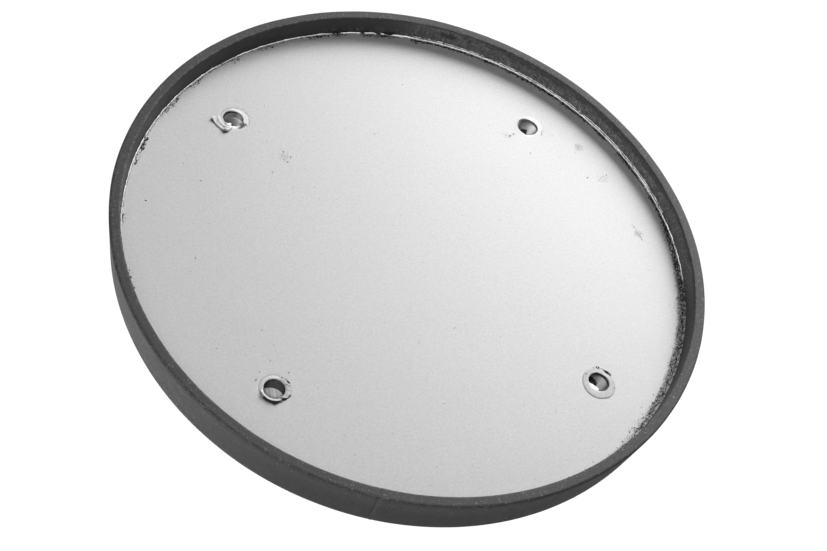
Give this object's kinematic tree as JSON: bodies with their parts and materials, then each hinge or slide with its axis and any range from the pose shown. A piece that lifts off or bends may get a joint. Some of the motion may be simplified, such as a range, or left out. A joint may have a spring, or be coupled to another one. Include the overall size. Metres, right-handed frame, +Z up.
{
  "type": "traffic convex mirror",
  "caption": "Round convex traffic mirror head in a rubber rim, seen and fastened from its white back, with threaded inserts for a post bracket.",
  "frame": {"origin": "centre of the square insert pattern, on the rear plane of the white back skin", "axes": "+Y points rearwards, out of the back towards the post bracket; the mirror faces -Y; +Z is up as mounted"},
  "size_m": [0.4496, 0.0475, 0.4496],
  "materials": {
    "rubber_rim": "matte, fine grain, dusty",
    "rubber_cement": "matte cement, slightly paler than the rim",
    "sealant": "cured sealant, smeared, with trapped grit",
    "white_skin": "matt white coat, fine speckle",
    "board": "dark rigid board, raw cut edge in the holes",
    "mirror_sheet": "second-surface mirror, grey brushed protective coat behind",
    "white_ring": "white coat, curled and chipped",
    "insert_steel": "turned steel bore, streaky"
  },
  "bodies": {
    "root": {"rim_ring": "rubber_rim", "rim_joint": "rubber_cement", "seam_bead": "sealant", "back_skin": "white_skin", "core_board": "board", "mirror_face": "mirror_sheet", "hole_ring_upper_left": "white_ring", "hole_ring_lower_right": "white_ring", "hole_ring_lower_left": "white_ring", "insert_nut_upper_left": "insert_steel", "insert_nut_upper_right": "insert_steel", "insert_nut_lower_right": "insert_steel"}
  },
  "joints": []
}
